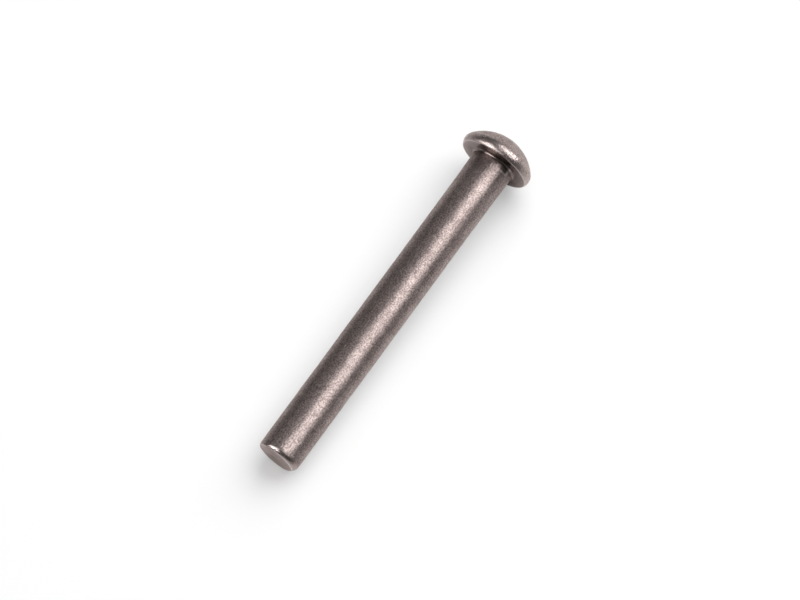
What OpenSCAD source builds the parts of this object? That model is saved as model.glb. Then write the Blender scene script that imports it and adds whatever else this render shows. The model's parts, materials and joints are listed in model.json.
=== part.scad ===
// Solid round-head rivet, headed cold from one length of steel wire.
// It lies on its side as it comes to rest: the rounded rim of the head and the rounding towards
// the cropped end touch the surface, so the shank rises a little towards the head.
// The shank runs along X, with the cropped end at -X and the head at +X.

/* [Shank] */
// Diameter of the plain shank
shank_d = 5.95; // [4.5:0.05:7]
// Length of the shank on its axis, from the cropped end to the seat under the head
shank_l = 50.15; // [20:0.05:80]
// Length over which the shank rounds in towards its cropped end
tip_l = 1.05; // [0.8:0.05:1.4]
// How far it has rounded in where it meets the cropped face
tip_inset = 0.48; // [0.2:0.02:0.6]
// How much longer the shank is on one side than on the other, because the crop slants
tip_skew = 0.45; // [0.05:0.05:0.6]
// How much longer it is on its upper side than on its lower one, as it lies
tip_rake = 0.3; // [0.05:0.05:0.6]

/* [Neck] */
// How much thicker the shank has swollen where it meets the head
neck_swell = 0.15; // [0.05:0.05:0.4]
// Length over which that swelling fades into the plain shank
neck_l = 6; // [2:0.5:15]
// Fillet between the neck and the seat
neck_r = 0.35; // [0.1:0.05:0.6]

/* [Head] */
// Greatest diameter of the head
head_d = 10.35; // [10:0.05:14]
// Height of the head above its seat
head_h = 3.85; // [2.8:0.05:5]
// Radius of the bulged rim
rim_r = 1.2; // [0.9:0.05:1.6]
// Height of the widest place of the rim above the seat
rim_h = 0.75; // [0.3:0.05:0.8]
// Rounding of the edge between the rim and the seat
seat_edge_r = 0.2; // [0.05:0.05:0.25]

/* [Hidden] */

// Facets of round surfaces in a preview
$fn = 96;

// Warm dark grey of the bare steel
steel_grey = [0.42, 0.39, 0.38];

// A hair's breadth by which each rounding crosses its neighbours, where it would only touch them
overlap = 0.0002;

// In the section, x is the distance from the axis and y the height above the seat
shank_r = shank_d / 2;

// The rounding towards the end is an arc that leaves the side of the shank smoothly, and it runs
// on past the end far enough for the slanted crop to cut it
tip_r = (pow(tip_l, 2) + pow(tip_inset, 2)) / (2 * tip_inset);
tip_ring = shank_r - tip_r;
tip_y = tip_l - shank_l;
tip_fall = norm([tip_skew, tip_rake]);
tip_drop = min(tip_r, tip_l + tip_fall / 2);
tip_foot = tip_ring + sqrt(pow(tip_r, 2) - pow(tip_drop, 2));
crop_slant = atan2(tip_skew, shank_d);
crop_rake = atan2(tip_rake, shank_d);

// The neck leans outwards, and its fillet touches the leaning side and the flat seat
neck_half = shank_r + neck_swell / 2;
neck_lean = atan2(neck_half - shank_r, neck_l);
fillet_x = neck_half - neck_r * tan(neck_lean) + neck_r / cos(neck_lean);

// Centres of the arcs of the head: the dome runs into the rim, and the rim into the seat's edge
rim_x = head_d / 2 - rim_r;
edge_x = rim_x + sqrt(pow(rim_r - seat_edge_r, 2) - pow(rim_h - seat_edge_r, 2));
edge_lean = atan2(seat_edge_r - rim_h, edge_x - rim_x);
edge_end = seat_edge_r + seat_edge_r * sin(edge_lean);
dome_rise = head_h - rim_h;
dome_r = (pow(rim_x, 2) + pow(dome_rise, 2) - pow(rim_r, 2)) / (2 * (dome_rise - rim_r));
dome_y = head_h - dome_r;
dome_lean = atan2(rim_h - dome_y, rim_x);

// Lying: the line that touches the rounding of the end and the rim of the head is the floor
lean_run = rim_h - tip_y;
lean_rise = rim_x - tip_ring;
lean = atan2(lean_rise, lean_run) + asin((rim_r - tip_r) / norm([lean_run, lean_rise]));
lift = tip_r + tip_ring * cos(lean) - tip_y * sin(lean);
long_drop = min(tip_r, tip_l + (shank_r - tip_inset) * tip_fall / shank_d);
long_r = tip_ring + sqrt(pow(tip_r, 2) - pow(long_drop, 2));
upper_slope = sin(lean) + tan(crop_rake) * cos(lean);
tip_reach = -shank_l * cos(lean) - long_r * norm([tan(crop_slant) * cos(lean), upper_slope]);
head_reach = dome_y * cos(lean) + dome_r;
mid_reach = (tip_reach + head_reach) / 2;

// Half section of the shank, which leans outwards at its neck and reaches into the head
module shank_section() {
    polygon([
        [0, tip_y - tip_drop],
        [tip_foot, tip_y - tip_drop],
        [shank_r, tip_y],
        [shank_r, -neck_l],
        [neck_half, 0],
        [tip_foot, rim_h],
        [0, rim_h]
    ]);
    intersection() {
        translate([tip_ring, tip_y])
            circle(r = tip_r + overlap);
        translate([0, tip_y - tip_drop])
            square([shank_d, tip_drop + tip_l]);
    }
}

// Half section of the neck, hollowed by its fillet
module neck_section() {
    difference() {
        translate([0, -neck_r])
            square([fillet_x, neck_r]);
        translate([fillet_x - overlap, overlap - neck_r])
            circle(r = neck_r);
    }
}

// Half section of the dome, from the top of the head to where the rim takes over
module dome_section() {
    reach = 2 * dome_r;
    directions = [dome_lean, (dome_lean + 90) / 2, 90];
    intersection() {
        translate([0, dome_y])
            circle(r = dome_r);
        translate([0, dome_y])
            polygon(concat([[0, 0]], [for (a = directions) reach * [cos(a), sin(a)]]));
        translate([0, edge_end])
            square([head_d, head_h]);
    }
}

// Half section of the head: flat seat, rounded edge, bulged rim and low dome
module head_section() {
    polygon([
        [0, 0],
        [edge_x, 0],
        [edge_x, seat_edge_r],
        [rim_x, rim_h],
        [0, max(rim_h, dome_y)]
    ]);
    translate([edge_x, seat_edge_r])
        circle(r = seat_edge_r + 2 * overlap);
    intersection() {
        translate([rim_x, rim_h])
            circle(r = rim_r + overlap);
        translate([0, edge_end])
            square([head_d, head_h]);
    }
    dome_section();
}

// What the slanted crop takes off the end of the shank
module crop() {
    reach = 2 * shank_d;
    translate([0, 0, -shank_l])
        rotate([crop_slant, -crop_rake, 0])
            translate([-reach / 2, -reach / 2, -reach])
                cube(reach);
}

// The whole rivet: one section turned about the axis, cropped, then laid on the floor
module rivet() {
    color(steel_grey)
        translate([-mid_reach, 0, lift])
            rotate([0, 90 - lean, 0])
                difference() {
                    rotate_extrude() {
                        shank_section();
                        neck_section();
                        head_section();
                    }
                    crop();
                }
}

rivet();
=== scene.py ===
# %% [markdown]
# # A solid rivet, turned in Geometry Nodes
#
# A solid rivet is made cold from one length of steel wire. The wire is cropped to length, and a
# die presses one end into a low round head. Apart from its cropped end it is round about one axis,
# so this lesson draws half of its section once and turns that section about the axis.
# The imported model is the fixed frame. It says where the axis runs, and the piece made here takes
# the place of its plain solid.

# %% Load the frame
import json
import math

import bmesh
import bpy
from mathutils import Matrix, Vector


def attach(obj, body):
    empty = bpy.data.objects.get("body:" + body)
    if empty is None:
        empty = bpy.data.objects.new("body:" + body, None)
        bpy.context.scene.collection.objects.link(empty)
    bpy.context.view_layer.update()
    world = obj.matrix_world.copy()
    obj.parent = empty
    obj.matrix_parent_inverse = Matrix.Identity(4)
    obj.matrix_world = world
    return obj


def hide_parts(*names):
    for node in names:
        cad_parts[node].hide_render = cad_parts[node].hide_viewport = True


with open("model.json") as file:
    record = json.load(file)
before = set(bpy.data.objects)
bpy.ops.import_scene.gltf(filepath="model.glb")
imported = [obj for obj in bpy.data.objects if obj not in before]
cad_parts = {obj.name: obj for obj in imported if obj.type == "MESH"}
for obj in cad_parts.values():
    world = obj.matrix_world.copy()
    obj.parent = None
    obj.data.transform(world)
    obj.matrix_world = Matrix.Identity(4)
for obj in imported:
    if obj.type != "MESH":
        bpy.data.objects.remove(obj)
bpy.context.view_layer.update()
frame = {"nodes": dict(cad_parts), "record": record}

print("nodes in the frame:", sorted(frame["nodes"]))

# %% [markdown]
# ## Where the rivet lies
#
# A rivet can't stand on its cropped end for long, so it lies on its side. The rim of the head is
# wider than the shank, and so the shank rises a little towards the head.
# The record already measures this: the mount on the shank gives the axis, and the mount on the
# seat gives the plane under the head. Reading both from the frame means that nothing is fitted.

# %% The axis and the seat, from the frame
mounts = {mount["name"]: mount for mount in frame["record"]["mounts"]}
axis = -Vector(mounts["shank"]["axis"]).normalized()
on_axis = Vector(mounts["shank"]["pos_m"])
on_seat = Vector(mounts["seat"]["pos_m"])
seat_centre = on_axis + axis * (on_seat - on_axis).dot(axis)
lean = math.atan2(axis.z, axis.x)
print("seat centre:", tuple(seat_centre), "lean in degrees:", math.degrees(lean))

# %% [markdown]
# ## The sizes
#
# The first list holds the sizes of the part's own source, in metres. The second holds what is too
# fine for that source: the width of a painted edge highlight, the relief and the reach of a patch of
# painted shade. The third holds two shares, which have no unit. All of them become named inputs of
# the node tree, so that the rivet can be changed in the modifier panel as well as here.

# %% Sizes of the rivet
MM = 0.001
sizes = {
    "Shank diameter": 5.95 * MM,
    "Shank length": 50.15 * MM,
    "Tip length": 1.05 * MM,
    "Tip inset": 0.48 * MM,
    "Tip skew": 0.45 * MM,
    "Tip rake": 0.3 * MM,
    "Neck swell": 0.15 * MM,
    "Neck length": 6 * MM,
    "Neck fillet": 0.35 * MM,
    "Head diameter": 10.35 * MM,
    "Head height": 3.85 * MM,
    "Rim radius": 1.2 * MM,
    "Rim height": 0.75 * MM,
    "Seat edge rounding": 0.2 * MM,
}
fine_sizes = {
    "Crop edge rounding": 0.04 * MM,
    "Edge highlight width": 0.1 * MM,
    "Shade patch reach": 1.15 * MM,
    "Relief depth": 0.03 * MM,
    "Relief size": 1.6 * MM,
    "Crop mark depth": 0.03 * MM,
    "Crop mark width": 0.6 * MM,
}
shares = {
    "Tip fullness": 1.0,
    "End stretch": 0.06,
}
seed = 4.0
print("shank length over diameter:", sizes["Shank length"] / sizes["Shank diameter"])

# %% [markdown]
# ## Arithmetic in a node tree
#
# A tree does sums with Math nodes, which are slow to read when they are wired by hand. The small
# class below stands for a number inside a tree: adding or multiplying two of them adds the Math
# node and its links. Geometry and material trees both use it.

# %% Helpers that add nodes and numbers
def add_node(tree, kind, **settings):
    """A new node of this kind, with its settings."""
    node = tree.nodes.new(kind)
    for name, value in settings.items():
        setattr(node, name, value)
    return node


def plug(tree, value, socket):
    """Links a number or an output into a socket, or sets the socket to a plain value."""
    if isinstance(value, Number):
        tree.links.new(value.socket, socket)
    elif isinstance(value, bpy.types.NodeSocket):
        tree.links.new(value, socket)
    else:
        socket.default_value = value


class Number:
    """A number that a node tree works out."""

    def __init__(self, tree, socket):
        self.tree = tree
        self.socket = socket

    def apply(self, operation, *others):
        node = add_node(self.tree, "ShaderNodeMath", operation=operation)
        for value, socket in zip((self, *others), node.inputs):
            plug(self.tree, value, socket)
        return Number(self.tree, node.outputs[0])

    def __add__(self, other):
        return self.apply("ADD", other)

    def __sub__(self, other):
        return self.apply("SUBTRACT", other)

    def __mul__(self, other):
        return self.apply("MULTIPLY", other)

    def __truediv__(self, other):
        return self.apply("DIVIDE", other)

    def squared(self):
        return self.apply("POWER", 2.0)

    def rest(self):
        """What is left of one."""
        return self * -1.0 + 1.0


print("helpers ready")

# %% [markdown]
# ## The tree and its inputs
#
# A modifier input is known by the identifier of its socket, not by its name, because two sockets
# may share a name. The identifiers are kept here for the moment when the modifier is set.

# %% Start the tree
turned = bpy.data.node_groups.new("Turned rivet", "GeometryNodeTree")
turned.interface.new_socket("Rivet", in_out="OUTPUT", socket_type="NodeSocketGeometry")
numbers = {**sizes, **fine_sizes, **shares, "Seed": seed}
input_ids = {}
for name in numbers:
    socket = turned.interface.new_socket(name, in_out="INPUT", socket_type="NodeSocketFloat")
    input_ids[name] = socket.identifier
for name in ("Seat centre", "Turn"):
    socket = turned.interface.new_socket(name, in_out="INPUT", socket_type="NodeSocketVector")
    input_ids[name] = socket.identifier
entry = add_node(turned, "NodeGroupInput")


def size(name):
    """One of the tree's named inputs."""
    return Number(turned, entry.outputs[name])


print("inputs of the tree:", list(input_ids))

# %% [markdown]
# ## The section
#
# In the section, x is the distance from the axis and y the height above the seat. The shank rounds
# in towards its cropped end, and the arc runs on a little, because the crop cuts it later. Near the
# head the shank swells, where the die gripped the wire. The head has a flat seat, a bulged rim and
# a low dome. The rim and the dome are arcs that run smoothly into each other.

# %% Arcs of the shank and the neck
shank_radius = size("Shank diameter") / 2.0
tip_radius = (size("Tip length").squared() + size("Tip inset").squared()) / (size("Tip inset") * 2.0)
tip_ring = shank_radius - tip_radius
tip_high = size("Tip length") - size("Shank length")
tip_fall = (size("Tip skew").squared() + size("Tip rake").squared()).apply("SQRT")
tip_drop = (size("Tip length") + tip_fall / 2.0).apply("MINIMUM", tip_radius)
tip_low = tip_high - tip_drop
tip_foot = tip_ring + (tip_radius.squared() - tip_drop.squared()).apply("SQRT")
tip_lean = (tip_drop / tip_radius).apply("ARCSINE") * -1.0

neck_rise = size("Neck swell") / 2.0
neck_low = size("Neck length") * -1.0
neck_lean = neck_rise.apply("ARCTAN2", size("Neck length"))
neck_drop = size("Neck fillet") * -1.0
fillet_gap = size("Neck fillet") / neck_lean.apply("COSINE")
fillet_x = shank_radius + neck_rise + neck_drop * neck_lean.apply("TANGENT") + fillet_gap
fillet_start_x = fillet_x - size("Neck fillet") * neck_lean.apply("COSINE")
fillet_start_y = neck_drop + size("Neck fillet") * neck_lean.apply("SINE")
half_turn = math.pi
quarter_turn = math.pi / 2
fillet_start = neck_lean * -1.0 + half_turn
print("nodes for the shank and the neck:", len(turned.nodes))

# %% Arcs of the head
rim_x = size("Head diameter") / 2.0 - size("Rim radius")
edge_reach = (size("Rim radius") - size("Seat edge rounding")).squared()
edge_fall = size("Rim height") - size("Seat edge rounding")
edge_x = rim_x + (edge_reach - edge_fall.squared()).apply("SQRT")
edge_lean = (edge_fall * -1.0).apply("ARCTAN2", edge_x - rim_x)
dome_rise = size("Head height") - size("Rim height")
dome_reach = rim_x.squared() + dome_rise.squared() - size("Rim radius").squared()
dome_radius = dome_reach / ((dome_rise - size("Rim radius")) * 2.0)
dome_y = size("Head height") - dome_radius
dome_lean = (size("Rim height") - dome_y).apply("ARCTAN2", rim_x)
print("nodes with the head:", len(turned.nodes))

# %% [markdown]
# ## Straight stretches and arcs
#
# Each stretch of the section is a curve of its own. Four marks ride along on its points: `worn`
# where tumbling has rubbed the metal, `grained` where the skin is rough, a third where shade
# under the head is painted darker into the colour, and a fourth where a thin highlight is painted
# along an edge. The finish reads them later.

# %% Helpers for points, ranges and marks
def at(x, y):
    """A point of the section."""
    node = add_node(turned, "ShaderNodeCombineXYZ")
    plug(turned, x, node.inputs["X"])
    plug(turned, y, node.inputs["Y"])
    return node.outputs["Vector"]


def clamp_range(tree, number, low, high, to_low, to_high):
    """The number, brought from one range to another and kept within it."""
    node = add_node(tree, "ShaderNodeMapRange", clamp=True)
    plug(tree, number, node.inputs["Value"])
    plug(tree, low, node.inputs["From Min"])
    plug(tree, high, node.inputs["From Max"])
    plug(tree, to_low, node.inputs["To Min"])
    plug(tree, to_high, node.inputs["To Max"])
    return Number(tree, node.outputs["Result"])


def along_stretch(low, high, start, end):
    """A number that changes between two shares of a stretch, from one value to another."""
    share = Number(turned, add_node(turned, "GeometryNodeSplineParameter").outputs["Factor"])
    return clamp_range(turned, share, low, high, start, end)


def add_mark(geometry, name, value):
    """The geometry with a mark of this name on its points."""
    mark = add_node(turned, "GeometryNodeStoreNamedAttribute", data_type="FLOAT", domain="POINT")
    plug(turned, geometry, mark.inputs["Geometry"])
    plug(turned, name, mark.inputs["Name"])
    plug(turned, value, mark.inputs["Value"])
    return mark.outputs["Geometry"]


def stored_mark(name):
    """A mark of the section, as it later lies on the turned mesh."""
    node = add_node(turned, "GeometryNodeInputNamedAttribute", data_type="FLOAT")
    plug(turned, name, node.inputs["Name"])
    return Number(turned, node.outputs["Attribute"])


print("helpers for marks ready")

# %% Helpers for the stretches of the section
section = []


def keep(curve, **marks):
    """Marks the stretch and adds it to the section."""
    for name in ("grained", "worn", "filmed", "burred"):
        curve = add_mark(curve, name, marks.get(name, 0.0))
    section.append(curve)


def straight(start, end, points, **marks):
    """A straight stretch between two points of the section."""
    line = add_node(turned, "GeometryNodeCurvePrimitiveLine", mode="POINTS")
    plug(turned, start, line.inputs["Start"])
    plug(turned, end, line.inputs["End"])
    dense = add_node(turned, "GeometryNodeResampleCurve")
    plug(turned, line.outputs["Curve"], dense.inputs["Curve"])
    plug(turned, points, dense.inputs["Count"])
    keep(dense.outputs["Curve"], **marks)


def arc(centre, radius, start, end, points, **marks):
    """A round stretch about a centre, between two angles."""
    sweep = Number(turned, add_node(turned, "ShaderNodeMath", operation="SUBTRACT").outputs[0])
    plug(turned, end, sweep.socket.node.inputs[0])
    plug(turned, start, sweep.socket.node.inputs[1])
    curve = add_node(turned, "GeometryNodeCurveArc", mode="RADIUS")
    plug(turned, points, curve.inputs["Resolution"])
    plug(turned, radius, curve.inputs["Radius"])
    plug(turned, start, curve.inputs["Start Angle"])
    plug(turned, sweep, curve.inputs["Sweep Angle"])
    moved = add_node(turned, "GeometryNodeTransform")
    plug(turned, curve.outputs["Curve"], moved.inputs["Geometry"])
    plug(turned, centre, moved.inputs["Translation"])
    keep(moved.outputs["Geometry"], **marks)


print("helpers for the section ready")

# %% [markdown]
# ## Drawing the shank and the head
#
# The stretches are drawn in order, from the middle of the cropped end to the top of the dome. The
# rounding of the end is rubbed bright near the crop and keeps the grain of the shank further up.
# The die pressed the corner under the head smooth, and no tumbling reaches it, so it has little
# grain. The corner, the seat and the end of the neck are painted darker, a painted shade for the
# dark corner under the head, and the edge of the seat carries a painted highlight.

# %% Draw the shank, from the middle of its cropped end to the neck
straight(at(0.0, tip_low), at(tip_foot, tip_low), points=24, grained=0.4)
tip_grain = along_stretch(low=0.35, high=0.9, start=0.5, end=1.0)
tip_wear = along_stretch(low=0.35, high=0.75, start=0.4, end=0.0)
tip_centre = at(tip_ring, tip_high)
arc(tip_centre, tip_radius, tip_lean, 0.0, points=56, grained=tip_grain, worn=tip_wear)
neck_start = at(shank_radius, neck_low)
straight(at(shank_radius, tip_high), neck_start, points=210, grained=1.0)
neck_grain = along_stretch(low=0.0, high=1.0, start=1.0, end=0.85)
# Painted shade: the end of the neck grows darker towards the head
neck_painted_shade = along_stretch(low=0.4, high=1.0, start=0.0, end=0.85)
neck_end = at(fillet_start_x, fillet_start_y)
straight(neck_start, neck_end, points=60, grained=neck_grain, filmed=neck_painted_shade)
print("stretches of the shank:", len(section))

# %% Draw the head, from the fillet at the neck to the top of the dome
fillet_centre = at(fillet_x, neck_drop)
fillet_radius = size("Neck fillet")
# Painted shade: the fillet under the head is darkened fully
arc(fillet_centre, fillet_radius, fillet_start, quarter_turn, points=12, grained=0.1, filmed=1.0)
# Painted shade on the seat, darkest at the fillet and lighter towards the edge
seat_painted_shade = along_stretch(low=0.1, high=1.0, start=1.0, end=0.45)
straight(at(fillet_x, 0.0), at(edge_x, 0.0), points=12, grained=0.3, filmed=seat_painted_shade)
edge_radius = size("Seat edge rounding")
edge_centre = at(edge_x, edge_radius)
# Painted highlight: a thin bright line along the edge of the seat
arc(edge_centre, edge_radius, -quarter_turn, edge_lean, points=8, grained=0.3, burred=0.4)
rim_centre = at(rim_x, size("Rim height"))
arc(rim_centre, size("Rim radius"), edge_lean, dome_lean, points=30, grained=1.3, worn=0.7)
arc(at(0.0, dome_y), dome_radius, dome_lean, quarter_turn, points=40, grained=1.1)
print("stretches of the whole section:", len(section))

# %% [markdown]
# ## Turning the section
#
# Curve to Mesh sweeps the section round a circle, as a lathe would. The circle has the radius of
# the shank, so the section is first moved inwards by as much. Merge by Distance then welds the
# seams between the stretches and closes the two poles on the axis.

# %% Sweep and weld
STEPS_ROUND = 192
WELD = 0.001 * MM
joined = add_node(turned, "GeometryNodeJoinGeometry")
for curve in reversed(section):
    plug(turned, curve, joined.inputs["Geometry"])
inwards = add_node(turned, "GeometryNodeTransform")
plug(turned, joined.outputs["Geometry"], inwards.inputs["Geometry"])
plug(turned, at(shank_radius * -1.0, 0.0), inwards.inputs["Translation"])
circle = add_node(turned, "GeometryNodeCurvePrimitiveCircle", mode="RADIUS")
plug(turned, STEPS_ROUND, circle.inputs["Resolution"])
plug(turned, shank_radius, circle.inputs["Radius"])
level = add_node(turned, "GeometryNodeSetCurveNormal", mode="Z_UP")
plug(turned, circle.outputs["Curve"], level.inputs["Curve"])
swept = add_node(turned, "GeometryNodeCurveToMesh")
plug(turned, level.outputs["Curve"], swept.inputs["Curve"])
plug(turned, inwards.outputs["Geometry"], swept.inputs["Profile Curve"])
welded = add_node(turned, "GeometryNodeMergeByDistance")
plug(turned, swept.outputs["Mesh"], welded.inputs["Geometry"])
plug(turned, WELD, welded.inputs["Distance"])
print("steps round the axis:", STEPS_ROUND)

# %% [markdown]
# ## Painted shade and highlight under the head
#
# Some marks don't run all the way round, so they are made on the turned mesh and not on the
# section. On one side of the neck, a small dark patch is painted under the head, a painted shade
# for the dark underside that the neck mirrors there, and its edge carries a painted highlight. On
# the same side, the painted shade on the seat is mostly taken away, so the seat is lighter there.
# Both could be painted by hand, but ranges round the axis and along it are easier to change.
# The sweep points its cropped end to +Z, and its +X side is the upper one. So `reach` is the way
# from the seat along the shank, and `side` is -1 on the -Y side, 0 on top and 1 on the +Y side.

# %% Where a point lies on the turned mesh
place = add_node(turned, "GeometryNodeInputPosition").outputs["Position"]
apart = add_node(turned, "ShaderNodeSeparateXYZ")
plug(turned, place, apart.inputs["Vector"])
above = Number(turned, apart.outputs["X"])
aside = Number(turned, apart.outputs["Y"])
reach = Number(turned, apart.outputs["Z"])
radial = (above.squared() + aside.squared()).apply("SQRT")
# Never nought, not even on the axis, because other numbers are divided by it
off_axis = radial.apply("MAXIMUM", WELD)
side = aside / off_axis
print("nodes so far:", len(turned.nodes))

# %% Patch of painted shade
PATCH_START = -0.44
PATCH_END = -0.9
PATCH_FADE = 0.1
PATCH_FULL_SHARE = 0.75
PATCH_EDGE_HIGHLIGHT = 7.0
PATCH_EDGE_START = PATCH_START - PATCH_FADE
shade_patch_full = size("Shade patch reach") * PATCH_FULL_SHARE
patch_start = clamp_range(turned, side, PATCH_START, PATCH_START - PATCH_FADE, 0.0, 1.0)
patch_end = clamp_range(turned, side, PATCH_END, PATCH_END + PATCH_FADE, 0.0, 1.0)
patch_along = clamp_range(turned, reach, size("Shade patch reach"), shade_patch_full, 0.0, 1.0)
upper_shank = reach.apply("GREATER_THAN", 0.0) * above.apply("GREATER_THAN", 0.0)
# Painted shade: a dark patch on the -Y side of the neck, just under the head
patch = patch_start * patch_end * patch_along * upper_shank
# Painted highlight along the edge of the patch
patch_edge_highlight_start = clamp_range(turned, side, PATCH_EDGE_START, PATCH_EDGE_START - PATCH_FADE, 0.0, 1.0)
patch_edge_highlight = patch * patch.rest() * PATCH_EDGE_HIGHLIGHT * patch_edge_highlight_start
print("the patch reaches down, in metres:", fine_sizes["Shade patch reach"])

# %% Less painted shade on one side of the seat, and the new marks
SHADE_CUT_START = -0.75
SHADE_CUT_END = -0.92
SHADE_LEFT = 0.25
PATCH_SHADE = 1.3
# On the -Y side of the seat most of the painted shade is taken away, so the seat is lighter there; then
# the patch is added
shade_kept_by_side = clamp_range(turned, side, SHADE_CUT_START, SHADE_CUT_END, 1.0, SHADE_LEFT)
painted_shade_kept = stored_mark("filmed") * shade_kept_by_side.apply("MAXIMUM", reach.apply("GREATER_THAN", WELD))
film = painted_shade_kept.apply("MAXIMUM", patch * PATCH_SHADE)
patched = add_mark(welded.outputs["Geometry"], "filmed", film)
patched = add_mark(patched, "burred", stored_mark("burred").apply("MAXIMUM", patch_edge_highlight))
print("share of the film left on the rubbed side:", SHADE_LEFT)

# %% [markdown]
# ## The crop
#
# Shears cut the wire, and they never cut quite square: the shank is a little longer on its -Y side
# and on top. A Boolean would leave a ragged ring of slivers. Instead, every point that lies beyond
# the slanted plane is pulled back onto it along the axis. Smooth Minimum does this with a hair of
# rounding. The blade came in at the top, so there the rounding is fuller and bends late: its depth
# is multiplied by its own share. The blade also spread the end sideways by a small share of its
# width. Along the edge a thin highlight is painted into the colour, and a mark keeps it for the
# finish.

# %% The slanted plane and its marks
crop_slope = size("Tip skew") / size("Shank diameter")
rake_slope = size("Tip rake") / size("Shank diameter")
crop_reach = size("Shank length") - aside * crop_slope + above * rake_slope
past = reach - crop_reach
beyond = clamp_range(turned, past, 0.0, size("Crop edge rounding"), 0.0, 1.0)
# Painted highlight: a thin bright line along the cropped edge
crop_edge_highlight = clamp_range(turned, past.apply("ABSOLUTE"), 0.0, size("Edge highlight width"), 1.0, 0.0)
marked = add_mark(patched, "cropped", beyond)
marked = add_mark(marked, "burred", stored_mark("burred").apply("MAXIMUM", crop_edge_highlight))
print("crop falls in metres, sideways and upright:", sizes["Tip skew"], sizes["Tip rake"])

# %% Crop the end and spread it
FULLER_FROM = -0.4
FULLEST_FROM = 0.5
deepest = shank_radius - tip_foot
depth_share = ((shank_radius - radial) / deepest).apply("MAXIMUM", 0.0).apply("MINIMUM", 1.0)
past_neck = reach.apply("GREATER_THAN", size("Neck length"))
upper = clamp_range(turned, above / off_axis, FULLER_FROM, FULLEST_FROM, 0.0, size("Tip fullness"))
fuller = depth_share * depth_share.rest() * deepest * upper * past_neck
widen = fuller / off_axis + 1.0
spread_out = depth_share * past_neck * size("End stretch") + widen
kept_place = add_node(turned, "ShaderNodeCombineXYZ")
plug(turned, above * widen, kept_place.inputs["X"])
plug(turned, aside * spread_out, kept_place.inputs["Y"])
plug(turned, reach.apply("SMOOTH_MIN", crop_reach, size("Crop edge rounding")), kept_place.inputs["Z"])
shorn = add_node(turned, "GeometryNodeSetPosition")
plug(turned, marked, shorn.inputs["Geometry"])
plug(turned, kept_place.outputs["Vector"], shorn.inputs["Position"])
print("the end spreads by a share of", shares["End stretch"])

# %% [markdown]
# ## Relief
#
# Tumbled steel isn't a mirror: its skin rolls by a few hundredths of a millimetre, which bends the
# edge of every highlight. The sheared end carries marks that all run one way. Both are real relief
# here, cut inwards, so the rivet stays inside its box. The seed is the fourth coordinate of the
# noise.

# %% Noise for the relief
NOISE_LOW = 0.3
NOISE_HIGH = 0.7
SHALLOWEST = 0.1
CROP_TURN = math.radians(14)
CROP_STRETCH = 7.0


def noise_number(tree, vector, scale, detail, seed_number):
    """A noise value from nought to one at a place."""
    node = add_node(tree, "ShaderNodeTexNoise", noise_dimensions="4D")
    plug(tree, vector, node.inputs["Vector"])
    plug(tree, scale, node.inputs["Scale"])
    plug(tree, detail, node.inputs["Detail"])
    plug(tree, seed_number, node.inputs["W"])
    return Number(tree, node.outputs[0])


one = Number(turned, add_node(turned, "ShaderNodeValue").outputs[0])
one.socket.default_value = 1.0
rolling = noise_number(turned, place, one / size("Relief size"), detail=2.0, seed_number=size("Seed"))
skin = clamp_range(turned, rolling, NOISE_LOW, NOISE_HIGH, SHALLOWEST, 1.0)
turn_marks = add_node(turned, "ShaderNodeVectorRotate", rotation_type="Z_AXIS")
plug(turned, place, turn_marks.inputs["Vector"])
plug(turned, CROP_TURN, turn_marks.inputs["Angle"])
stretch_marks = add_node(turned, "ShaderNodeVectorMath", operation="MULTIPLY")
plug(turned, turn_marks.outputs["Vector"], stretch_marks.inputs[0])
plug(turned, (1.0, 1.0 / CROP_STRETCH, 1.0), stretch_marks.inputs[1])
mark_place = stretch_marks.outputs["Vector"]
mark_scale = one / size("Crop mark width")
shear_marks = noise_number(turned, mark_place, mark_scale, detail=3.0, seed_number=size("Seed"))
print("marks of the shears, turned by degrees:", math.degrees(CROP_TURN))

# %% Cut the relief
skin_depth = skin * size("Relief depth") * stored_mark("grained")
depth = skin_depth + shear_marks * size("Crop mark depth") * stored_mark("cropped")
normal = add_node(turned, "GeometryNodeInputNormal").outputs["Normal"]
cut = add_node(turned, "ShaderNodeVectorMath", operation="SCALE")
plug(turned, normal, cut.inputs["Vector"])
plug(turned, depth * -1.0, cut.inputs["Scale"])
carved = add_node(turned, "GeometryNodeSetPosition")
plug(turned, shorn.outputs["Geometry"], carved.inputs["Geometry"])
plug(turned, cut.outputs["Vector"], carved.inputs["Offset"])
print("relief depth in metres:", fine_sizes["Relief depth"])

# %% [markdown]
# ## Laying it down
#
# The sweep leaves the head pointing down, because the section's y follows the circle's binormal.
# One turn about Y brings the head to the +X side at the lean of the frame, and the seat then
# moves to its place. The turn is done inside the tree, so the object itself stays at the origin.

# %% Place, smooth, realize and give the material
steel = bpy.data.materials.new("bare_steel")
laid = add_node(turned, "GeometryNodeTransform")
plug(turned, carved.outputs["Geometry"], laid.inputs["Geometry"])
plug(turned, entry.outputs["Seat centre"], laid.inputs["Translation"])
plug(turned, entry.outputs["Turn"], laid.inputs["Rotation"])
smooth = add_node(turned, "GeometryNodeSetShadeSmooth")
plug(turned, laid.outputs["Geometry"], smooth.inputs["Geometry"])
real = add_node(turned, "GeometryNodeRealizeInstances")
plug(turned, smooth.outputs["Geometry"], real.inputs["Geometry"])
coated = add_node(turned, "GeometryNodeSetMaterial")
plug(turned, real.outputs["Geometry"], coated.inputs["Geometry"])
plug(turned, steel, coated.inputs["Material"])
leave = add_node(turned, "NodeGroupOutput")
plug(turned, coated.outputs["Geometry"], leave.inputs["Rivet"])
print("nodes in the tree:", len(turned.nodes))

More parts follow.
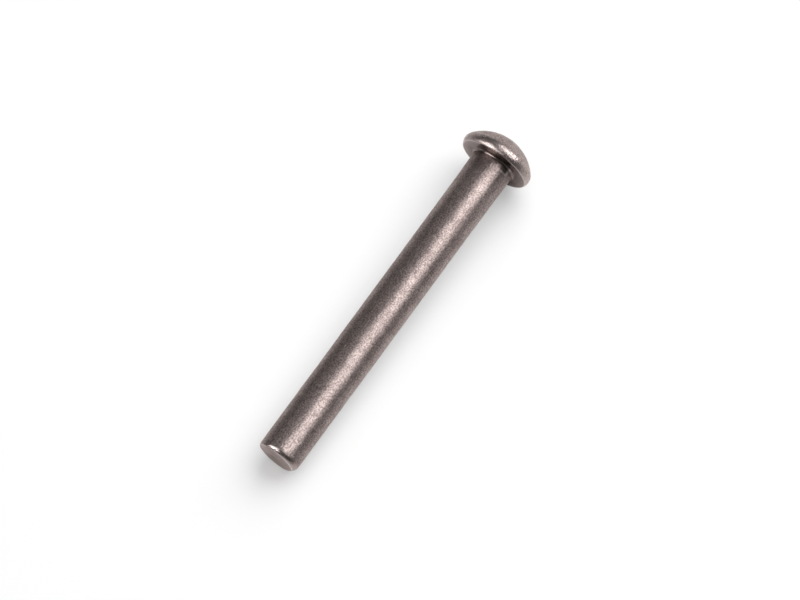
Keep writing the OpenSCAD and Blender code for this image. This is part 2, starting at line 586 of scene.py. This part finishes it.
# %% Set the modifier and make a plain mesh
holder = bpy.data.objects.new("rivet_tree", bpy.data.meshes.new("rivet_tree"))
bpy.context.scene.collection.objects.link(holder)
modifier = holder.modifiers.new("Turned rivet", "NODES")
modifier.node_group = turned
for name, value in numbers.items():
    modifier[input_ids[name]] = value
modifier[input_ids["Seat centre"]] = tuple(seat_centre)
modifier[input_ids["Turn"]] = (0.0, -quarter_turn - lean, 0.0)
evaluated = holder.evaluated_get(bpy.context.evaluated_depsgraph_get())
mesh = bpy.data.meshes.new_from_object(evaluated)
holder.modifiers.remove(modifier)
bpy.data.objects.remove(holder)
print("faces:", len(mesh.polygons), "marks:", [mark.name for mark in mesh.attributes])

# %% Check that the skin is closed and faces outwards
work = bmesh.new()
work.from_mesh(mesh)
bmesh.ops.recalc_face_normals(work, faces=work.faces)
open_edges = [edge for edge in work.edges if not edge.is_manifold]
volume = work.calc_volume(signed=True)
triangles = sum(len(face.verts) - 2 for face in work.faces)
work.to_mesh(mesh)
work.free()
mesh.name = "solid_rivet"
rivet = bpy.data.objects.new("solid_rivet", mesh)
bpy.context.scene.collection.objects.link(rivet)
print("open edges:", len(open_edges), "triangles:", triangles, "volume in mm3:", volume / MM**3)

# %% [markdown]
# ## The steel
#
# The rivet is bare steel that was tumbled after heading. It is a warm dark grey metal with a
# fine mottled grain, and the edges that rub in the tumbler are brighter and smoother. Seen along
# its surface it stays slightly warm, which is the tint of the specular edge.
# Everything reads Object coordinates in metres, so a grain size below is a real size.

# %% Start the steel and its coordinates
EDGE_TINT = (1.0, 0.95, 0.93, 1.0)
steel.use_nodes = True
finish = steel.node_tree
finish.nodes.clear()
surface = add_node(finish, "ShaderNodeBsdfPrincipled")
surface.inputs["Metallic"].default_value = 1.0
surface.inputs["Specular Tint"].default_value = EDGE_TINT
output = add_node(finish, "ShaderNodeOutputMaterial")
plug(finish, surface.outputs["BSDF"], output.inputs["Surface"])
spot = add_node(finish, "ShaderNodeTexCoord").outputs["Object"]


def mark_number(name):
    """One of the marks that the mesh carries."""
    node = add_node(finish, "ShaderNodeAttribute", attribute_name=name)
    return Number(finish, node.outputs["Fac"])


def spread(number, low, high, to_low, to_high):
    """A number of the finish, brought from one range to another."""
    return clamp_range(finish, number, low, high, to_low, to_high)


grained = mark_number("grained")
sheared = mark_number("cropped")
burred = mark_number("burred")
filmed = mark_number("filmed")
worn = mark_number("worn") * sheared.rest()
print("steel started")

# %% [markdown]
# ## Tone
#
# Two noises make the tone. A broad one gives the cloudy patches that a thin oxide film leaves,
# and a fine one gives the speckle of the grain. They only choose between a darker and a lighter
# steel, so the metal stays one metal.
# The shears drew fine lines across the end, which also show as tone. The end is also lighter towards
# its -Y side and darker towards its +Y side.

# %% Mottled tone
CLOUD_SIZE = 2.2 * MM
CLOUD_TONES = (0.25, 0.65)
SPECKLE_SIZE = 0.2 * MM
SPECKLE_TONE = 0.7
cloud = noise_number(finish, spot, 1 / CLOUD_SIZE, detail=4.0, seed_number=1.0)
speckle = noise_number(finish, spot, 1 / SPECKLE_SIZE, detail=2.0, seed_number=2.0)
cloud_tone = spread(cloud, NOISE_LOW, NOISE_HIGH, *CLOUD_TONES)
mottle = cloud_tone + spread(speckle, NOISE_LOW, NOISE_HIGH, -SPECKLE_TONE, SPECKLE_TONE) * grained
print("clouds and speckle in metres:", CLOUD_SIZE, SPECKLE_SIZE)

# %% Tone of the cropped end
LINE_WIDTH = 0.6 * MM
LINE_RANGE = (0.35, 0.65)
LINE_TONES = (0.1, 0.9)
LIGHTER_FROM = 0.8 * MM
LIGHTEST_AT = -2.4 * MM
DARKEST_AT = 2.2 * MM
DARKER_TONE = 0.3
along = add_node(finish, "ShaderNodeMapping")
plug(finish, spot, along.inputs["Vector"])
along.inputs["Rotation"].default_value = (-CROP_TURN, 0.0, 0.0)
along.inputs["Scale"].default_value = (1.0, 1.0 / CROP_STRETCH, 1.0)
lines = noise_number(finish, along.outputs["Vector"], 1 / LINE_WIDTH, detail=3.0, seed_number=4.0)
across = add_node(finish, "ShaderNodeSeparateXYZ")
plug(finish, spot, across.inputs["Vector"])
# The cropped end grows lighter towards -Y and darker towards +Y
end_lighter_side = spread(across.outputs["Y"], LIGHTEST_AT, LIGHTER_FROM, 1.0, 0.0) * sheared
end_darker_side = spread(across.outputs["Y"], 0.0, DARKEST_AT, 0.0, DARKER_TONE)
tone = mottle + (spread(lines, *LINE_RANGE, *LINE_TONES) - end_darker_side) * sheared
print("lines on the cropped end, width in metres:", LINE_WIDTH)

# %% [markdown]
# ## Steel, painted highlight and painted shade
#
# The tone picks the colour between the darker and the lighter steel. Then come thin covers, one
# over the other: rubbed places have lost the oxide and are lighter, thin edges get a painted
# highlight, and the corner under the head and a patch beside the neck get painted shade. Each cover
# is a mix by its own mark.

# %% Colours and covers
DARK_STEEL = (0.27, 0.21, 0.2, 1.0)
PALE_STEEL = (0.63, 0.525, 0.5, 1.0)
RUBBED_STEEL = (0.74, 0.635, 0.605, 1.0)
# Colour of the painted highlights along the edges
PAINTED_HIGHLIGHT_COLOUR = (0.9, 0.82, 0.8, 1.0)
# Colour of the painted shade under the head
PAINTED_SHADE_COLOUR = (0.09, 0.07, 0.065, 1.0)
RUBBED_COVER = 0.5
PAINTED_HIGHLIGHT_COVER = 0.95
PAINTED_SHADE_COVER = 0.65


def blend(tree, factor, first, second):
    """A colour between two others, as far towards the second as a factor says."""
    node = add_node(tree, "ShaderNodeMix", data_type="RGBA")
    plug(tree, factor, node.inputs["Factor"])
    plug(tree, first, node.inputs["A"])
    plug(tree, second, node.inputs["B"])
    return node.outputs["Result"]


shown = blend(finish, tone, DARK_STEEL, PALE_STEEL)
shown = blend(finish, worn * RUBBED_COVER + end_lighter_side, shown, RUBBED_STEEL)
# Painted highlight along the seat edge, the cropped edge and the patch's edge
shown = blend(finish, burred * PAINTED_HIGHLIGHT_COVER, shown, PAINTED_HIGHLIGHT_COLOUR)
# Painted shade darkens the corner under the head and the patch beside the neck
shown = blend(finish, filmed * PAINTED_SHADE_COVER, shown, PAINTED_SHADE_COLOUR)
print("tone made from", DARK_STEEL, "to", PALE_STEEL, "and", RUBBED_STEEL, "where rubbed")

# %% [markdown]
# ## Pits
#
# A tumbled rivet keeps a few tiny pits, where scale was pressed in or stones have hit it. A
# Voronoi texture scatters cells, and only the cells with a low random value get a pit.

# %% Pits
PIT_CELL = 0.9 * MM
PIT_SHARE = 0.08
PIT_REACH = 0.16
PIT_COLOUR = (0.16, 0.125, 0.115, 1.0)
PIT_COVER = 0.5
cells = add_node(finish, "ShaderNodeTexVoronoi", feature="F1")
plug(finish, spot, cells.inputs["Vector"])
plug(finish, 1 / PIT_CELL, cells.inputs["Scale"])
split = add_node(finish, "ShaderNodeSeparateColor")
plug(finish, cells.outputs["Color"], split.inputs["Color"])
chosen = Number(finish, split.outputs["Red"]).apply("LESS_THAN", PIT_SHARE)
pit = spread(cells.outputs["Distance"], PIT_REACH / 2, PIT_REACH, 1.0, 0.0) * chosen
plug(finish, blend(finish, pit * PIT_COVER, shown, PIT_COLOUR), surface.inputs["Base Color"])
print("share of cells with a pit:", PIT_SHARE)

# %% [markdown]
# ## Gloss and grain
#
# Roughness follows the grain and the same clouds, and falls on rubbed edges. The grain is too fine
# to model: it is bump, with hollows a few hundredths of a millimetre deep. The sheared end has
# bump lines that run the same way as its relief.

# %% Roughness
SMOOTHEST = 0.2
GRAIN_ROUGHNESS = 0.17
CLOUD_ROUGHNESS = 0.04
PIT_ROUGHNESS = 0.2
SHEARED_ROUGHNESS = 0.04
WORN_GLOSS = 0.2
patchy = spread(cloud, NOISE_LOW, NOISE_HIGH, SMOOTHEST + CLOUD_ROUGHNESS, SMOOTHEST - CLOUD_ROUGHNESS)
rough = patchy + grained * GRAIN_ROUGHNESS + pit * PIT_ROUGHNESS
rough = rough - worn * WORN_GLOSS + sheared * SHEARED_ROUGHNESS
plug(finish, rough, surface.inputs["Roughness"])
print("roughness from", SMOOTHEST, "to", SMOOTHEST + GRAIN_ROUGHNESS)

# %% Grain and crop lines
GRAIN_SIZE = 0.2 * MM
GRAIN_DEPTH = 0.055 * MM
grain = noise_number(finish, spot, 1 / GRAIN_SIZE, detail=3.0, seed_number=3.0)
height = grain * grained + lines * sheared - pit
bump = add_node(finish, "ShaderNodeBump")
bump.inputs["Distance"].default_value = GRAIN_DEPTH
bump.inputs["Strength"].default_value = 1.0
plug(finish, height, bump.inputs["Height"])
plug(finish, bump.outputs["Normal"], surface.inputs["Normal"])
print("grain size and depth in metres:", GRAIN_SIZE, GRAIN_DEPTH)

# %% [markdown]
# ## The floor
#
# The rivet lies on a plain white floor. The lamps stay at a plain level, so they light the floor
# to a middle tone, and the rest of its white is a glow that only camera and transmission rays see.
# The shadow still shows in the lit share. The metal mirrors a pale floor too, and a darker one the
# lower it looks along it: for the gloss alone the floor's colour is painted darker by angle, a
# painted shade in place of a lit panel that sends most of its light upwards. Beyond the head that
# colour is painted brighter, a painted pool of light that only the gloss sees and the dome mirrors.

# %% Floor sheet
FLOOR_SIDE = 4.0
floor_mesh = bpy.data.meshes.new("floor")
floor_work = bmesh.new()
bmesh.ops.create_grid(floor_work, x_segments=1, y_segments=1, size=FLOOR_SIDE / 2)
floor_work.to_mesh(floor_mesh)
floor_work.free()
floor = bpy.data.objects.new("floor", floor_mesh)
bpy.context.scene.collection.objects.link(floor)
print("floor of", FLOOR_SIDE, "metres, stage only")

# %% What the steel mirrors of the floor
FLOOR_STEEP = (0.78, 0.78, 0.78, 1.0)
FLOOR_GRAZED = (0.16, 0.16, 0.16, 1.0)
FLOOR_PAINTED_LIGHT = (0.69, 0.69, 0.69, 1.0)
BEYOND_START = 30 * MM
BEYOND_END = 60 * MM
paper = bpy.data.materials.new("white_floor")
paper.use_nodes = True
sheet = paper.node_tree
sheet.nodes.clear()
slope = add_node(sheet, "ShaderNodeLayerWeight")
floor_place = add_node(sheet, "ShaderNodeSeparateXYZ")
plug(sheet, add_node(sheet, "ShaderNodeTexCoord").outputs["Object"], floor_place.inputs["Vector"])
# Painted pool of light on the floor beyond the head, seen only in the steel's gloss
painted_light_beyond_head = clamp_range(sheet, floor_place.outputs["X"], BEYOND_START, BEYOND_END, 0.0, 1.0)
grazed = blend(sheet, painted_light_beyond_head, FLOOR_GRAZED, FLOOR_PAINTED_LIGHT)
mirrored = blend(sheet, slope.outputs["Facing"], FLOOR_STEEP, grazed)
print("floor tones for gloss:", FLOOR_STEEP[0], "from above,", FLOOR_GRAZED[0], "along it")

# %% Finish of the floor
FLOOR_LIT = (0.6, 0.6, 0.6, 1.0)
FLOOR_GLOW = 0.31
rays = add_node(sheet, "ShaderNodeLightPath")
matt = add_node(sheet, "ShaderNodeBsdfDiffuse")
plug(sheet, blend(sheet, rays.outputs["Is Glossy Ray"], FLOOR_LIT, mirrored), matt.inputs["Color"])
seen = Number(sheet, rays.outputs["Is Camera Ray"]).apply("MAXIMUM", rays.outputs["Is Transmission Ray"])
glow = add_node(sheet, "ShaderNodeEmission")
plug(sheet, seen * FLOOR_GLOW, glow.inputs["Strength"])
both = add_node(sheet, "ShaderNodeAddShader")
plug(sheet, matt.outputs["BSDF"], both.inputs[0])
plug(sheet, glow.outputs["Emission"], both.inputs[1])
floor_output = add_node(sheet, "ShaderNodeOutputMaterial")
plug(sheet, both.outputs["Shader"], floor_output.inputs["Surface"])
floor_mesh.materials.append(paper)
print("floor colour and glow:", FLOOR_LIT[0], FLOOR_GLOW)

# %% [markdown]
# ## Light
#
# Polished round steel shows its lamps as stripes. Two soft boxes stand over the rivet in a dim
# room: the key draws the long stripe on the shank and the crisp one on the rim, and the second
# box lights the edge of the head and of the cropped end. The floor has its own soft light: a wide
# scrim overhead, and a window beyond the head, which throws the shadow in front of the tip. So the
# boxes show only in gloss, and the scrim and the window only on what is matt.

# %% Room
ROOM_LOW = 0.1
ROOM_HIGH = 0.28
RISE_START = 0.25
room = bpy.data.worlds.new("dim_room")
room.use_nodes = True
air = room.node_tree
air.nodes.clear()
direction = add_node(air, "ShaderNodeTexCoord").outputs["Generated"]
parts = add_node(air, "ShaderNodeSeparateXYZ")
plug(air, direction, parts.inputs["Vector"])
overhead = clamp_range(air, parts.outputs["Z"], RISE_START, 1.0, 0.0, 1.0).squared()
walls = add_node(air, "ShaderNodeBackground")
plug(air, overhead * (ROOM_HIGH - ROOM_LOW) + ROOM_LOW, walls.inputs["Strength"])
air_output = add_node(air, "ShaderNodeOutputWorld")
plug(air, walls.outputs["Background"], air_output.inputs["Surface"])
bpy.context.scene.world = room
print("room from", ROOM_LOW, "at the sides to", ROOM_HIGH, "overhead")

# %% Helpers for the lamps
LAMP_DISTANCE = 1.0


def from_side(azimuth, elevation):
    """The direction towards a place round the rivet: azimuth 0 is on the -Y side, 90 on the +X side."""
    turn = math.radians(azimuth)
    rise = math.radians(elevation)
    flat = math.cos(rise)
    return Vector((math.sin(turn) * flat, -math.cos(turn) * flat, math.sin(rise)))


def soft_box(name, azimuth, elevation, length, width, radiance):
    """A soft box that faces the rivet and lies along it, with its brightness given as radiance."""
    lamp = bpy.data.lights.new(name, "AREA")
    lamp.shape = "RECTANGLE"
    lamp.size = length
    lamp.size_y = width
    lamp.energy = radiance * math.pi * length * width
    box = bpy.data.objects.new(name, lamp)
    direction = from_side(azimuth, elevation)
    long_way = (axis - direction * axis.dot(direction)).normalized()
    turn = Matrix((long_way, direction.cross(long_way), direction)).transposed().to_4x4()
    box.matrix_world = Matrix.Translation(direction * LAMP_DISTANCE) @ turn
    box.visible_camera = False
    bpy.context.scene.collection.objects.link(box)
    print(name, "watts:", lamp.energy)
    return box


print("lamps stand", LAMP_DISTANCE, "metre away")

# %% Soft boxes, scrim and window
key_box = soft_box("key_box", azimuth=50, elevation=44.7, length=0.9, width=0.76, radiance=3.05)
edge_box = soft_box("edge_box", azimuth=233, elevation=38, length=0.76, width=0.7, radiance=3.6)
key_box.visible_diffuse = False
edge_box.visible_diffuse = False
scrim = soft_box("scrim", azimuth=0, elevation=90, length=3.0, width=3.0, radiance=0.5)
window = soft_box("window", azimuth=81, elevation=48, length=1.2, width=1.2, radiance=3.0)
scrim.visible_glossy = False
window.visible_glossy = False

# %% [markdown]
# ## Camera
#
# The picture was taken with a long lens from high above, so the rivet hardly narrows towards its
# head. The camera is placed by one point: the middle of the cropped end falls on a known pixel.

# %% Camera
IMAGE_WIDTH = 800
IMAGE_HEIGHT = 600
SENSOR_WIDTH = 36.0
LENS = 630.0
CAMERA_AZIMUTH = -55.5
CAMERA_ELEVATION = 65.85
CLIP_END = 10.0
END_DEPTH = 1.8266
END_PIXEL = (276.77, 458.79)
pixels_per_slope = LENS / SENSOR_WIDTH * IMAGE_WIDTH
back = from_side(CAMERA_AZIMUTH, CAMERA_ELEVATION)
right = Vector((0.0, 0.0, 1.0)).cross(back).normalized()
up = back.cross(right)
end_centre = seat_centre - axis * sizes["Shank length"]
end_right = (END_PIXEL[0] - IMAGE_WIDTH / 2) / pixels_per_slope * END_DEPTH
end_up = (IMAGE_HEIGHT / 2 - END_PIXEL[1]) / pixels_per_slope * END_DEPTH
camera = bpy.data.objects.new("camera", bpy.data.cameras.new("camera"))
camera.data.sensor_width = SENSOR_WIDTH
camera.data.lens = LENS
camera.data.clip_end = CLIP_END
turn = Matrix((right, up, back)).transposed().to_4x4()
eye = end_centre + back * END_DEPTH - right * end_right - up * end_up
camera.matrix_world = Matrix.Translation(eye) @ turn
bpy.context.scene.collection.objects.link(camera)
bpy.context.scene.camera = camera
bpy.context.scene.view_settings.view_transform = "Standard"
print("camera at", tuple(eye))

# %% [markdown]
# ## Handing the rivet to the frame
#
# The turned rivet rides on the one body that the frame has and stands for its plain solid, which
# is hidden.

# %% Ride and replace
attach(rivet, "root")
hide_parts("rivet")
